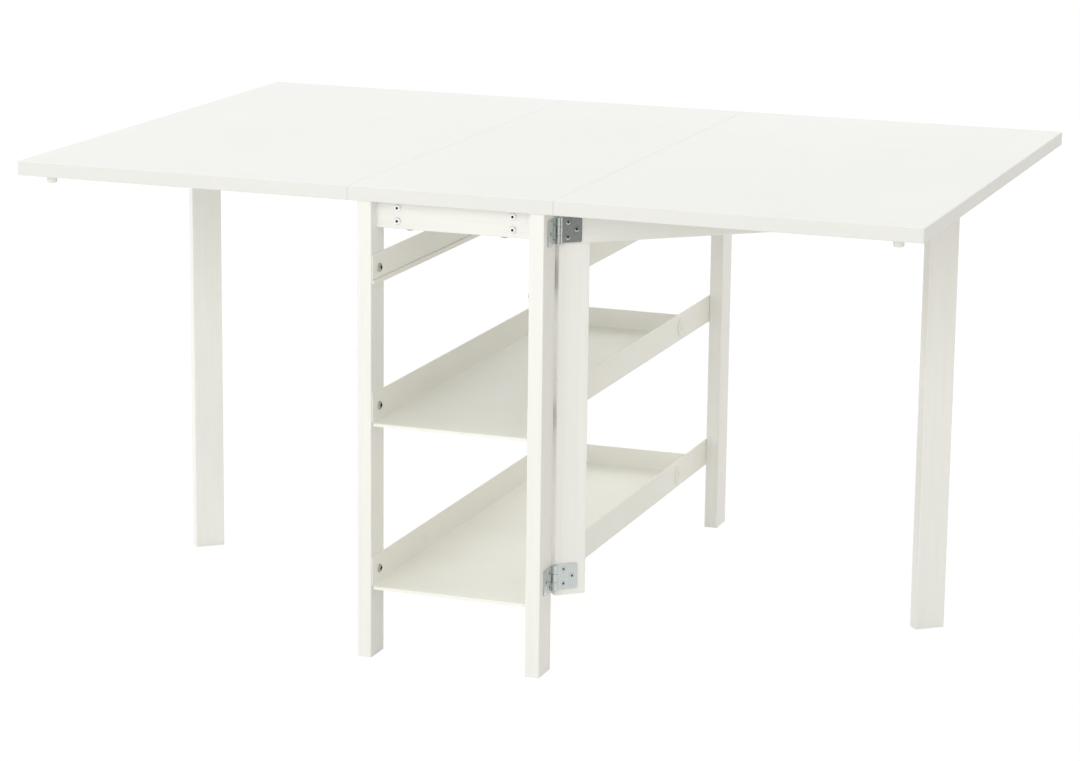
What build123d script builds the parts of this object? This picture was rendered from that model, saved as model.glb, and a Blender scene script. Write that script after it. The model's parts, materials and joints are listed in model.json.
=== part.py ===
from build123d import *
from math import radians, sin
import os

# A gateleg table. Four flat posts carry a fixed centre panel, two steel trays and two steel side rails.
# A leaf is hinged along each side of the centre panel, and a gate swings out to hold each leaf up.
# Millimetres, +Z up, the front looks towards -Y, and the origin lies on the floor under the centre.

# Table top
TOP_LENGTH = 1450.0
TOP_DEPTH = 980.0
TABLE_HEIGHT = 740.0
TOP_THICKNESS = 22.0
CENTRE_WIDTH = 330.0
SEAM_GAP = 0.4
PANEL_CORNER = 3.0
PANEL_BREAK = 0.8

# Posts, aprons and stretchers
FRAME_WIDTH = 300.0
POST_SETBACK = 3.0
POST_WIDTH = 23.0
POST_DEPTH = 51.0
TIMBER_ROUND = 1.2
APRON_HEIGHT = 43.0
APRON_THICKNESS = 20.0
APRON_SETBACK = 22.0
STRETCHER_HEIGHT = 42.0
STRETCHER_WIDTH = 22.0
STRETCHER_SPACING = 186.0

# Stub tenons, in the aprons and the gates
TENON_LENGTH = 12.0
TENON_THICKNESS = 8.0
TENON_SHOULDER = 7.0
TENON_CLEARANCE = 0.2

# Apron bolts, which hold the stretchers, and top screws, which hold the centre panel
BOLT_HEAD_DIAMETER = 13.0
BOLT_HEAD_HEIGHT = 3.0
BOLT_HEAD_BREAK = 1.5
BOLT_SOCKET_ACROSS = 4.0
BOLT_SOCKET_DEPTH = 2.2
BOLT_DIAMETER = 6.0
BOLT_BITE = 38.0
BOLT_DROP = 11.0
BOLT_PITCH = 20.0
TOP_SCREW_SPACING = 152.0
TOP_SCREW_HEAD_DIAMETER = 12.0
TOP_SCREW_HEAD_HEIGHT = 2.5
TOP_SCREW_DIAMETER = 4.5
TOP_SCREW_BITE = 12.0

# Steel trays and side rails
SHEET = 1.2
BEND_RADIUS = 1.5
STEEL_SETBACK = 3.0
SIDE_HEIGHT = 48.0
LIP_WIDTH = 15.0
LOWER_TRAY_HEIGHT = 113.0
LOWER_TRAY_DEPTH = 856.0
MIDDLE_TRAY_HEIGHT = 372.5
MIDDLE_TRAY_DEPTH = 806.0
BACK_WALL_HEIGHT = 34.0
FRONT_LIP = 4.5
SIDE_RAIL_DROP = 130.0
SIDE_RAIL_CORNER = 7.0
HEM_HEIGHT = 8.0
HEM_GAP = 0.4
HEM_BEND_RADIUS = 0.15

# Screws that hold the steel to the posts, and plugs in the tray sides
STEEL_SCREW_HEAD_DIAMETER = 13.5
STEEL_SCREW_HEAD_HEIGHT = 3.2
STEEL_SCREW_DIAMETER = 5.0
STEEL_SCREW_BITE = 10.0
STEEL_SCREW_INSET = 30.0
SCREW_CLEARANCE = 0.15
PLUG_DIAMETER = 30.0
PLUG_PROUD = 2.0
PLUG_DISH_DIAMETER = 10.0
PLUG_DISH_DEPTH = 1.0
PLUG_STEM_DIAMETER = 14.0
PLUG_OFFSET = 268.0

# Gates
LEG_INSET = 64.8
GATE_THICKNESS = 22.0
GATE_MEMBER_WIDTH = 50.0
GATE_POST_GAP = 4.0
GATE_OPEN_ANGLE = 49.4
STILE_BOTTOM = 116.0
GATE_RAIL_HEIGHT = 45.0
GATE_RAIL_DROP = 10.0
LEG_TOP_CLEARANCE = 0.3

# Gate hinges
GATE_HINGE_HEIGHT = 40.0
GATE_HINGE_WIDTH = 38.0
GATE_HINGE_PLATE = 2.0
GATE_KNUCKLE_DIAMETER = 10.0
GATE_PIN_DIAMETER = 5.0
GATE_HINGE_SCREW_DIAMETER = 4.0
GATE_HINGE_SCREW_NEAR = 15.5
GATE_HINGE_SCREW_FAR = 29.5
GATE_HINGE_SCREW_SPREAD = 23.0
LOWER_HINGE_RISE = 30.0

# Leaf hinges
LEAF_HINGE_HEIGHT = 60.0
LEAF_HINGE_WIDTH = 32.0
LEAF_HINGE_PLATE = 1.6
LEAF_KNUCKLE_DIAMETER = 6.4
LEAF_KNUCKLE_DROP = 0.3
LEAF_PIN_DIAMETER = 3.5
LEAF_HINGE_SCREW_DIAMETER = 3.5
LEAF_HINGE_SCREW_INSET = 20.0
LEAF_HINGE_SCREW_SPREAD = 40.0
LEAF_HINGE_SPACING = 660.0

# Both kinds of hinge
KNUCKLES = 3
KNUCKLE_GAP = 0.4
RUNNING_CLEARANCE = 0.05
PLATE_CORNER = 3.0

# Bumpers under the leaf corners, and the stop for each gate
BUMPER_DIAMETER = 16.0
BUMPER_LENGTH = 13.0
BUMPER_BREAK = 1.5
BUMPER_STEM_DIAMETER = 8.0
BUMPER_STEM_LENGTH = 12.0
BUMPER_END_INSET = 44.5
BUMPER_SIDE_INSET = 31.0
STOP_INSET = 70.0
STOP_CLEARANCE = 0.3

# Levels and faces that several pieces share
UNDERSIDE = TABLE_HEIGHT - TOP_THICKNESS
SEAM_X = CENTRE_WIDTH / 2
POST_OUTER_X = FRAME_WIDTH / 2
POST_INNER_X = POST_OUTER_X - POST_WIDTH
POST_OUTER_Y = TOP_DEPTH / 2 - POST_SETBACK
POST_INNER_Y = POST_OUTER_Y - POST_DEPTH
APRON_BOTTOM = UNDERSIDE - APRON_HEIGHT
APRON_FACE_Y = POST_OUTER_Y - APRON_SETBACK
APRON_BACK_Y = APRON_FACE_Y - APRON_THICKNESS
APRON_MIDDLE_Y = (APRON_FACE_Y + APRON_BACK_Y) / 2
SIDE_RAIL_BOTTOM = UNDERSIDE - SIDE_RAIL_DROP
STEEL_END_Y = POST_OUTER_Y - STEEL_SETBACK
FOLD = BEND_RADIUS + SHEET
HEM_FOLD = HEM_BEND_RADIUS + SHEET
HEM_WIDTH = 2 * SHEET + HEM_GAP
GATE_REACH = TOP_LENGTH / 2 - LEG_INSET - POST_OUTER_X
GATE_LENGTH = GATE_REACH / sin(radians(GATE_OPEN_ANGLE))
GATE_AXIS_X = POST_OUTER_X + GATE_KNUCKLE_DIAMETER / 2
GATE_AXIS_Y = -POST_INNER_Y + GATE_POST_GAP / 2
STILE_Y = -POST_INNER_Y + GATE_POST_GAP
LEG_Y = STILE_Y + GATE_LENGTH - GATE_MEMBER_WIDTH
GATE_INNER_X = POST_OUTER_X - GATE_THICKNESS
GATE_MIDDLE_X = (POST_OUTER_X + GATE_INNER_X) / 2
GATE_RAIL_TOP = UNDERSIDE - GATE_RAIL_DROP
GATE_RAIL_BOTTOM = GATE_RAIL_TOP - GATE_RAIL_HEIGHT
LEAF_AXIS_Z = UNDERSIDE - LEAF_KNUCKLE_DROP - LEAF_KNUCKLE_DIAMETER / 2
UPPER_HINGE_Z = (GATE_RAIL_TOP + GATE_RAIL_BOTTOM) / 2
LOWER_HINGE_Z = STILE_BOTTOM + LOWER_HINGE_RISE

# Directions
RIGHT = (1, 0, 0)
LEFT = (-1, 0, 0)
FRONT = (0, -1, 0)
BACK = (0, 1, 0)
UP = (0, 0, 1)
DOWN = (0, 0, -1)


def half_turn(shape):
    """The same piece on the other side of the table, turned half a turn about the upright centre line."""
    return Rot(0, 0, 180) * shape


def facing(x, y, z, direction):
    """A place at a point, with its own +Z along the direction."""
    return Plane(origin=(x, y, z), z_dir=direction).location


def block(low, high):
    """Plain block between two corners."""
    size = [top - bottom for bottom, top in zip(low, high)]
    return Pos(*low) * Box(*size, align=Align.MIN)


def timber(low, high, run):
    """Straight timber between two corners, with its edges along the run softened."""
    plain = block(low, high)
    return fillet(plain.edges().filter_by(run), TIMBER_ROUND)


def panel(low_x, high_x):
    """Board of the table top: a slice of one whole top with softened edges, left square at the seams."""
    outline = RectangleRounded(TOP_LENGTH, TOP_DEPTH, PANEL_CORNER)
    whole = extrude(Pos(0, 0, UNDERSIDE) * outline, TOP_THICKNESS)
    rims = whole.faces().filter_by(Axis.Z).edges()
    cut = block((low_x, -TOP_DEPTH / 2, UNDERSIDE), (high_x, TOP_DEPTH / 2, TABLE_HEIGHT))
    return chamfer(rims, PANEL_BREAK) & cut


def grown(low, high, amount):
    """Two corners of a block, moved out by the same amount on every side."""
    return [value - amount for value in low], [value + amount for value in high]


def mortise(low, high):
    """Hollow for the tenon between two corners, with its clearance."""
    return block(*grown(low, high, TENON_CLEARANCE))


def shank_hole(diameter, length):
    """Hole for a shank that runs down from the seat, with a clearance all round."""
    radius = diameter / 2 + SCREW_CLEARANCE
    return Cylinder(radius, length + SCREW_CLEARANCE, align=(Align.CENTER, Align.CENTER, Align.MAX))


def headed(head_diameter, head_height, shank_diameter, length):
    """Fastener whose head stands on its seat and whose shank runs down from it."""
    head = Cylinder(head_diameter / 2, head_height, align=(Align.CENTER, Align.CENTER, Align.MIN))
    shank = Cylinder(shank_diameter / 2, length, align=(Align.CENTER, Align.CENTER, Align.MAX))
    return head + shank


def placed(shape, places):
    """One copy of a shape at each place."""
    return [place * shape for place in places]


# Places of the fasteners on the front apron, and of those through the steel on the right


def apron_bolt_places():
    """Seats of the four bolts on the front apron."""
    columns = (-STRETCHER_SPACING / 2, STRETCHER_SPACING / 2)
    rows = (UNDERSIDE - BOLT_DROP, UNDERSIDE - BOLT_DROP - BOLT_PITCH)
    return [facing(x, -APRON_FACE_Y, z, FRONT) for x in columns for z in rows]


def top_screw_places():
    """Seats of the two upright screws under the front apron."""
    columns = (-TOP_SCREW_SPACING / 2, TOP_SCREW_SPACING / 2)
    return [facing(x, -APRON_MIDDLE_Y, APRON_BOTTOM, DOWN) for x in columns]


def steel_screw_places(bottom):
    """Seats of the four screws through the sides of a tray or through two rails, from their lower edge."""
    seat_x = POST_INNER_X - SHEET
    seat_y = POST_OUTER_Y - STEEL_SCREW_INSET
    middle = bottom + SIDE_HEIGHT / 2
    right = [facing(seat_x, y, middle, LEFT) for y in (-seat_y, seat_y)]
    left = [facing(-seat_x, y, middle, RIGHT) for y in (-seat_y, seat_y)]
    return right + left


def plug_places(bottom):
    """Seats of the two plugs in the sides of a tray that starts at this height."""
    middle = bottom + SIDE_HEIGHT / 2
    right = facing(POST_INNER_X, PLUG_OFFSET, middle, RIGHT)
    left = facing(-POST_INNER_X, -PLUG_OFFSET, middle, LEFT)
    return [right, left]


def bumper_places():
    """Seats of the two bumpers under the right leaf."""
    x = TOP_LENGTH / 2 - BUMPER_END_INSET
    y = TOP_DEPTH / 2 - BUMPER_SIDE_INSET
    return [facing(x, -y, UNDERSIDE, DOWN), facing(x, y, UNDERSIDE, DOWN)]


def opened(shape):
    """A piece of the right gate, swung out from the closed gate to where it holds the leaf."""
    axis = Pos(GATE_AXIS_X, GATE_AXIS_Y, 0)
    return axis * Rot(0, 0, -GATE_OPEN_ANGLE) * axis.inverse() * shape


def stop_place():
    """Seat of the stop under the right leaf, beside the open gate's rail."""
    x = POST_OUTER_X + BUMPER_DIAMETER / 2 + STOP_CLEARANCE
    return opened(facing(x, LEG_Y - STOP_INSET, UNDERSIDE, DOWN))


# Fasteners and small fittings


def apron_bolt():
    """Hex-socket bolt with a low round head."""
    bolt = headed(BOLT_HEAD_DIAMETER, BOLT_HEAD_HEIGHT, BOLT_DIAMETER, APRON_THICKNESS + BOLT_BITE)
    rim = bolt.edges().group_by(Axis.Z)[-1]
    bolt = chamfer(rim, BOLT_HEAD_BREAK)
    socket = extrude(RegularPolygon(BOLT_SOCKET_ACROSS / 2, 6, major_radius=False), BOLT_SOCKET_DEPTH)
    return bolt - Pos(0, 0, BOLT_HEAD_HEIGHT - BOLT_SOCKET_DEPTH) * socket


def top_screw():
    """Long screw through an apron into the centre panel."""
    length = APRON_HEIGHT + TOP_SCREW_BITE
    return headed(TOP_SCREW_HEAD_DIAMETER, TOP_SCREW_HEAD_HEIGHT, TOP_SCREW_DIAMETER, length)


def steel_screw():
    """Flat-headed screw through sheet steel into a post."""
    length = SHEET + STEEL_SCREW_BITE
    return headed(STEEL_SCREW_HEAD_DIAMETER, STEEL_SCREW_HEAD_HEIGHT, STEEL_SCREW_DIAMETER, length)


def plug():
    """Round plug with a dished middle, which closes a hole in a tray's side and ends flush inside."""
    button = headed(PLUG_DIAMETER, PLUG_PROUD, PLUG_STEM_DIAMETER, SHEET)
    rim = button.edges().group_by(Axis.Z)[-1]
    dish = Cylinder(PLUG_DISH_DIAMETER / 2, PLUG_DISH_DEPTH, align=(Align.CENTER, Align.CENTER, Align.MAX))
    return chamfer(rim, PLUG_PROUD / 2) - Pos(0, 0, PLUG_PROUD) * dish


def bumper():
    """Round peg with a stem that is pushed into a leaf."""
    peg = headed(BUMPER_DIAMETER, BUMPER_LENGTH, BUMPER_STEM_DIAMETER, BUMPER_STEM_LENGTH)
    rim = peg.edges().group_by(Axis.Z)[-1]
    return chamfer(rim, BUMPER_BREAK)


# Frame


def apron_tenon():
    """Corners of the tenon at the right end of the front apron."""
    low = (POST_INNER_X, -APRON_MIDDLE_Y - TENON_THICKNESS / 2, APRON_BOTTOM + TENON_SHOULDER)
    high = (POST_INNER_X + TENON_LENGTH, -APRON_MIDDLE_Y + TENON_THICKNESS / 2, UNDERSIDE - TENON_SHOULDER)
    return low, high


def front_right_post():
    """Post with the apron's mortise and the holes for the steel's screws."""
    low = (POST_INNER_X, -POST_OUTER_Y, 0)
    high = (POST_OUTER_X, -POST_INNER_Y, UNDERSIDE)
    upright = timber(low, high, Axis.Z) - mortise(*apron_tenon())
    hole = shank_hole(STEEL_SCREW_DIAMETER, SHEET + STEEL_SCREW_BITE)
    for bottom in (LOWER_TRAY_HEIGHT, MIDDLE_TRAY_HEIGHT, SIDE_RAIL_BOTTOM):
        upright -= steel_screw_places(bottom)[0] * hole
    return upright


def front_apron():
    """Apron between the front posts, with a tenon at each end and the holes for its bolts and screws."""
    low = (-POST_INNER_X, -APRON_FACE_Y, APRON_BOTTOM)
    high = (POST_INNER_X, -APRON_BACK_Y, UNDERSIDE)
    right_tenon = block(*apron_tenon())
    apron = timber(low, high, Axis.X) + right_tenon + mirror(right_tenon, about=Plane.YZ)
    apron -= placed(shank_hole(BOLT_DIAMETER, APRON_THICKNESS), apron_bolt_places())
    apron -= placed(shank_hole(TOP_SCREW_DIAMETER, APRON_HEIGHT), top_screw_places())
    return apron


def right_stretcher():
    """Batten under the top from apron to apron, with two bolt holes in each end."""
    middle = STRETCHER_SPACING / 2
    low = (middle - STRETCHER_WIDTH / 2, -APRON_BACK_Y, UNDERSIDE - STRETCHER_HEIGHT)
    high = (middle + STRETCHER_WIDTH / 2, APRON_BACK_Y, UNDERSIDE)
    holes = placed(shank_hole(BOLT_DIAMETER, APRON_THICKNESS + BOLT_BITE), apron_bolt_places())
    return timber(low, high, Axis.Y) - holes - [half_turn(hole) for hole in holes]


def centre_top():
    """Fixed panel over the frame, with blind holes for the top screws."""
    holes = placed(shank_hole(TOP_SCREW_DIAMETER, APRON_HEIGHT + TOP_SCREW_BITE), top_screw_places())
    board = panel(-SEAM_X + SEAM_GAP / 2, SEAM_X - SEAM_GAP / 2)
    return board - holes - [half_turn(hole) for hole in holes]


# Sheet steel


def bent(points, plane, length, fold=FOLD):
    """Folded strip along the plane's normal. Its outer face follows the points and turns left at folds."""
    path = FilletPolyline(*points, radius=fold)
    return extrude(plane * make_face(offset(path, amount=SHEET, side=Side.LEFT)), length)


def side_angle(bottom, start, end):
    """Right-hand angle of a tray's side and lip from one depth to another."""
    points = [
        (POST_INNER_X - LIP_WIDTH, bottom),
        (POST_INNER_X, bottom),
        (POST_INNER_X, bottom + SIDE_HEIGHT),
    ]
    return bent(points, Plane.XZ.offset(-end), end - start)


def side_rail():
    """Right-hand steel strip high between the posts, with an open hem along its foot and rounded ends."""
    hem_x = POST_INNER_X - HEM_WIDTH
    points = [
        (hem_x, SIDE_RAIL_BOTTOM + HEM_HEIGHT),
        (hem_x, SIDE_RAIL_BOTTOM),
        (POST_INNER_X, SIDE_RAIL_BOTTOM),
        (POST_INNER_X, SIDE_RAIL_BOTTOM + SIDE_HEIGHT),
    ]
    strip = bent(points, Plane.XZ.offset(-STEEL_END_Y), 2 * STEEL_END_Y, HEM_FOLD)
    outline = RectangleRounded(2 * STEEL_END_Y, SIDE_HEIGHT, SIDE_RAIL_CORNER)
    upright = Plane.YZ.offset(hem_x) * Pos(0, SIDE_RAIL_BOTTOM + SIDE_HEIGHT / 2) * outline
    rail = strip & extrude(upright, HEM_WIDTH)
    return rail - placed(shank_hole(STEEL_SCREW_DIAMETER, SHEET), steel_screw_places(SIDE_RAIL_BOTTOM))


def tray(bottom, depth):
    """Open-fronted tray. Its sides run on behind the back wall to the back posts."""
    front = -STEEL_END_Y
    back = front + depth
    floor_top = bottom + SHEET
    side = POST_INNER_X
    channel = [(-side, bottom + SIDE_HEIGHT), (-side, bottom), (side, bottom), (side, bottom + SIDE_HEIGHT)]
    body = bent(channel, Plane.XZ.offset(FOLD - back), depth - 2 * FOLD)
    rear = side_angle(bottom, back - FOLD, STEEL_END_Y)
    body += rear + mirror(rear, about=Plane.YZ)

    wall_width = 2 * (side - LIP_WIDTH)
    wall = [(back - 2 * FOLD, bottom), (back, bottom), (back, bottom + BACK_WALL_HEIGHT)]
    body += bent(wall, Plane.YZ.offset(-wall_width / 2), wall_width)

    lip_width = 2 * (side - FOLD)
    lip = [(front + 2 * FOLD, floor_top), (front, floor_top), (front, floor_top - FRONT_LIP)]
    body += bent(lip, Plane.YZ.offset(-lip_width / 2), lip_width)

    cheek = block((side - SHEET, front, bottom + FOLD), (side, front + FOLD, bottom + SIDE_HEIGHT))
    body += cheek + mirror(cheek, about=Plane.YZ)

    body -= placed(shank_hole(STEEL_SCREW_DIAMETER, SHEET), steel_screw_places(bottom))
    return body - placed(shank_hole(PLUG_STEM_DIAMETER, SHEET), plug_places(bottom))


# Hinges


def countersunk_hole(diameter, plate):
    """Conical hole through a plate, from the plate's outer face down."""
    return Pos(0, 0, -plate / 2) * Cone(diameter / 2, diameter / 2 + plate, plate)


def hinge_plate(height, width, plate, knuckle, seat, pin, first, holes):
    """Half of a butt hinge about the Z axis. The plate runs along +X, and its back lies below the axis."""
    back = -seat - knuckle / 2
    half = Pos(width / 2, back + plate / 2, 0) * Box(width, plate, height)
    corners = half.edges().filter_by(Axis.Y).group_by(Axis.X)[-1]
    half = fillet(corners, PLATE_CORNER)
    pitch = height / KNUCKLES
    for index in range(KNUCKLES):
        level = Pos(0, 0, (index + 0.5) * pitch - height / 2)
        if index % 2 == first:
            half += level * Cylinder(knuckle / 2, pitch - KNUCKLE_GAP)
        else:
            half -= level * Box(knuckle + 2 * KNUCKLE_GAP, knuckle + 2 * seat, pitch + KNUCKLE_GAP)
    return half - Cylinder(pin / 2 + RUNNING_CLEARANCE, height) - holes


def gate_hinge_plate(first):
    """Plate of a gate hinge, with two screw holes near the knuckle and one further out."""
    face = GATE_HINGE_PLATE - GATE_KNUCKLE_DIAMETER / 2
    spread = GATE_HINGE_SCREW_SPREAD / 2
    spots = [(GATE_HINGE_SCREW_NEAR, -spread), (GATE_HINGE_SCREW_NEAR, spread), (GATE_HINGE_SCREW_FAR, 0)]
    hole = countersunk_hole(GATE_HINGE_SCREW_DIAMETER, GATE_HINGE_PLATE)
    return hinge_plate(
        height=GATE_HINGE_HEIGHT,
        width=GATE_HINGE_WIDTH,
        plate=GATE_HINGE_PLATE,
        knuckle=GATE_KNUCKLE_DIAMETER,
        seat=0,
        pin=GATE_PIN_DIAMETER,
        first=first,
        holes=[facing(x, face, z, BACK) * hole for x, z in spots],
    )


def leaf_hinge_plate(first):
    """Plate of a leaf hinge, with two screw holes."""
    face = LEAF_HINGE_PLATE - LEAF_KNUCKLE_DIAMETER / 2 - LEAF_KNUCKLE_DROP
    spread = LEAF_HINGE_SCREW_SPREAD / 2
    hole = countersunk_hole(LEAF_HINGE_SCREW_DIAMETER, LEAF_HINGE_PLATE)
    return hinge_plate(
        height=LEAF_HINGE_HEIGHT,
        width=LEAF_HINGE_WIDTH,
        plate=LEAF_HINGE_PLATE,
        knuckle=LEAF_KNUCKLE_DIAMETER,
        seat=LEAF_KNUCKLE_DROP,
        pin=LEAF_PIN_DIAMETER,
        first=first,
        holes=[facing(LEAF_HINGE_SCREW_INSET, face, z, BACK) * hole for z in (-spread, spread)],
    )


def post_hinge_place(level):
    """Place of a hinge on the front right post: the plate runs forward along the post's outer face."""
    return Plane(origin=(GATE_AXIS_X, GATE_AXIS_Y, level), x_dir=FRONT, z_dir=UP).location


def gate_hinge_place(level):
    """Place of a hinge on the closed right gate: the plate runs back along the gate's outer face."""
    return Plane(origin=(GATE_AXIS_X, GATE_AXIS_Y, level), x_dir=BACK, z_dir=DOWN).location


def leaf_hinge_places(direction, along):
    """Places of the hinges under the right seam, with the plates running in one direction."""
    depths = (-LEAF_HINGE_SPACING / 2, LEAF_HINGE_SPACING / 2)
    return [Plane(origin=(SEAM_X, y, LEAF_AXIS_Z), x_dir=direction, z_dir=along).location for y in depths]


def gate_pin():
    """Pin of a gate hinge, as long as its knuckles."""
    return Cylinder(GATE_PIN_DIAMETER / 2, GATE_HINGE_HEIGHT)


def leaf_pin():
    """Pin of a leaf hinge, as long as its knuckles."""
    return Cylinder(LEAF_PIN_DIAMETER / 2, LEAF_HINGE_HEIGHT)


# Gates, drawn closed along the right side of the frame


def stile_tenon():
    """Corners of the tenon on top of the stile."""
    low = (GATE_MIDDLE_X - TENON_THICKNESS / 2, STILE_Y + TENON_SHOULDER, GATE_RAIL_BOTTOM)
    far = STILE_Y + GATE_MEMBER_WIDTH - TENON_SHOULDER
    return low, (GATE_MIDDLE_X + TENON_THICKNESS / 2, far, GATE_RAIL_BOTTOM + TENON_LENGTH)


def rail_tenon():
    """Corners of the tenon at the leg's end of the rail."""
    low = (GATE_MIDDLE_X - TENON_THICKNESS / 2, LEG_Y, GATE_RAIL_BOTTOM + TENON_SHOULDER)
    return low, (GATE_MIDDLE_X + TENON_THICKNESS / 2, LEG_Y + TENON_LENGTH, GATE_RAIL_TOP - TENON_SHOULDER)


def gate_stile():
    """Short upright that carries the lower hinge and tenons into the rail above it."""
    low = (GATE_INNER_X, STILE_Y, STILE_BOTTOM)
    high = (POST_OUTER_X, STILE_Y + GATE_MEMBER_WIDTH, GATE_RAIL_BOTTOM)
    return timber(low, high, Axis.Z) + block(*stile_tenon())


def gate_rail():
    """Top rail, which lies on the stile and tenons into the leg."""
    low = (GATE_INNER_X, STILE_Y, GATE_RAIL_BOTTOM)
    high = (POST_OUTER_X, LEG_Y, GATE_RAIL_TOP)
    return timber(low, high, Axis.Y) + block(*rail_tenon()) - mortise(*stile_tenon())


def gate_leg():
    """Long leg from the floor to just under the leaf."""
    low = (GATE_INNER_X, LEG_Y, 0)
    high = (POST_OUTER_X, LEG_Y + GATE_MEMBER_WIDTH, UNDERSIDE - LEG_TOP_CLEARANCE)
    return timber(low, high, Axis.Z) - mortise(*rail_tenon())


# Leaves


def right_leaf():
    """Hinged panel on the right, with the holes for its bumpers and its gate stop."""
    hole = shank_hole(BUMPER_STEM_DIAMETER, BUMPER_STEM_LENGTH)
    return panel(SEAM_X + SEAM_GAP / 2, TOP_LENGTH / 2) - placed(hole, bumper_places() + [stop_place()])


# Assembly: each piece on the right or at the front is made once, and half a turn gives its twin


def group(shapes):
    """Like pieces that share a name, as separate solids."""
    return Compound([solid for shape in shapes for solid in shape.solids()])


def right_side():
    """Pieces of the right side, by name without the side."""
    pieces = {
        "stretcher": right_stretcher(),
        "side_rail": side_rail(),
        "leaf": right_leaf(),
        "leaf_bumpers": group(placed(bumper(), bumper_places())),
        "gate_stop": stop_place() * bumper(),
        "leaf_hinge_fixed_plates": group(placed(leaf_hinge_plate(0), leaf_hinge_places(LEFT, FRONT))),
        "leaf_hinge_leaf_plates": group(placed(leaf_hinge_plate(1), leaf_hinge_places(RIGHT, BACK))),
        "leaf_hinge_pins": group(placed(leaf_pin(), leaf_hinge_places(RIGHT, BACK))),
        "gate_stile": opened(gate_stile()),
        "gate_rail": opened(gate_rail()),
        "gate_leg": opened(gate_leg()),
    }
    for level_name, level in (("upper", UPPER_HINGE_Z), ("lower", LOWER_HINGE_Z)):
        pieces[f"{level_name}_hinge_post_plate"] = post_hinge_place(level) * gate_hinge_plate(0)
        pieces[f"{level_name}_hinge_gate_plate"] = opened(gate_hinge_place(level) * gate_hinge_plate(1))
        pieces[f"{level_name}_hinge_pin"] = post_hinge_place(level) * gate_pin()
    return pieces


def front_side():
    """Pieces of the front, by name without the side."""
    return {
        "apron": front_apron(),
        "apron_bolts": group(placed(apron_bolt(), apron_bolt_places())),
        "top_screws": group(placed(top_screw(), top_screw_places())),
    }


def table():
    """Every piece of the table by name."""
    right_post = front_right_post()
    left_post = mirror(right_post, about=Plane.YZ)
    pieces = {
        "centre_top": centre_top(),
        "front_right_post": right_post,
        "front_left_post": left_post,
        "back_left_post": half_turn(right_post),
        "back_right_post": half_turn(left_post),
        "middle_tray": tray(MIDDLE_TRAY_HEIGHT, MIDDLE_TRAY_DEPTH),
        "lower_tray": tray(LOWER_TRAY_HEIGHT, LOWER_TRAY_DEPTH),
        "middle_tray_plugs": group(placed(plug(), plug_places(MIDDLE_TRAY_HEIGHT))),
        "lower_tray_plugs": group(placed(plug(), plug_places(LOWER_TRAY_HEIGHT))),
        "middle_tray_screws": group(placed(steel_screw(), steel_screw_places(MIDDLE_TRAY_HEIGHT))),
        "lower_tray_screws": group(placed(steel_screw(), steel_screw_places(LOWER_TRAY_HEIGHT))),
        "side_rail_screws": group(placed(steel_screw(), steel_screw_places(SIDE_RAIL_BOTTOM))),
    }
    for name, shape in right_side().items():
        pieces[f"right_{name}"] = shape
        pieces[f"left_{name}"] = half_turn(shape)
    for name, shape in front_side().items():
        pieces[f"front_{name}"] = shape
        pieces[f"back_{name}"] = half_turn(shape)
    return pieces


os.makedirs("parts", exist_ok=True)
for node, shape in table().items():
    export_step(shape, f"parts/{node}.step")
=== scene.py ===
# %% [markdown]
# # A white gateleg table
#
# The table has a narrow fixed frame with steel trays, a leaf hinged along each side, and a gate under each
# leaf. The solid model gives every board, post, tray and hinge its shape and place. This lesson dresses that
# model: it sets the camera and the light, paints each piece, and adds the small screws.

import json
import math

import bpy
from mathutils import Matrix, Vector


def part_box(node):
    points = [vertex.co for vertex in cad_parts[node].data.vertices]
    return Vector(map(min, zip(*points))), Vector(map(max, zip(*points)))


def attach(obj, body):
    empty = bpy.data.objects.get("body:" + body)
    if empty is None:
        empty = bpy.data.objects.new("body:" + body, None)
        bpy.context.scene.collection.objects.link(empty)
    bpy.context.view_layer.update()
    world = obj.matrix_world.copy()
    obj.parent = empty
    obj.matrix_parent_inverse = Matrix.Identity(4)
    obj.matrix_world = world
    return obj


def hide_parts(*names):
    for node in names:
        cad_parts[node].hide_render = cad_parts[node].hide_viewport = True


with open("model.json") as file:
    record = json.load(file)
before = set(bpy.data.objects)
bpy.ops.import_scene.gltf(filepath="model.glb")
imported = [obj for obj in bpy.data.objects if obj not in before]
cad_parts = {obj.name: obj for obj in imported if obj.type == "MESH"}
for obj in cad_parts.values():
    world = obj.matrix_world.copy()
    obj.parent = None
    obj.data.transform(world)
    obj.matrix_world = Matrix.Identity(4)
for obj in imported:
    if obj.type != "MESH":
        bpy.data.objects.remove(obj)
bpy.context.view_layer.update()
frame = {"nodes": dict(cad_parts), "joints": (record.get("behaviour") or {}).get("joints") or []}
nodes = frame["nodes"]
scene = bpy.context.scene
scene.view_settings.view_transform = "Standard"

# %% [markdown]
# ## Camera
#
# The photograph was taken with a long lens from the front and a little to the right, looking slightly down.
# A camera could be placed by eye, but the table's straight edges fix it much better: the place, the turn and
# the lens below come from matching the corners of the table with their places in the photograph.

# %% Place the camera
PHOTO_WIDTH = 1080
FOCAL_PIXELS = 3337
SENSOR_WIDTH = 36.0
CAMERA_PLACE = Vector((1.798, -5.054, 1.591))
CAMERA_TURN = math.radians(19.88)
CAMERA_TILT = math.radians(13.04)
CAMERA_ROLL = math.radians(0.67)


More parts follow.
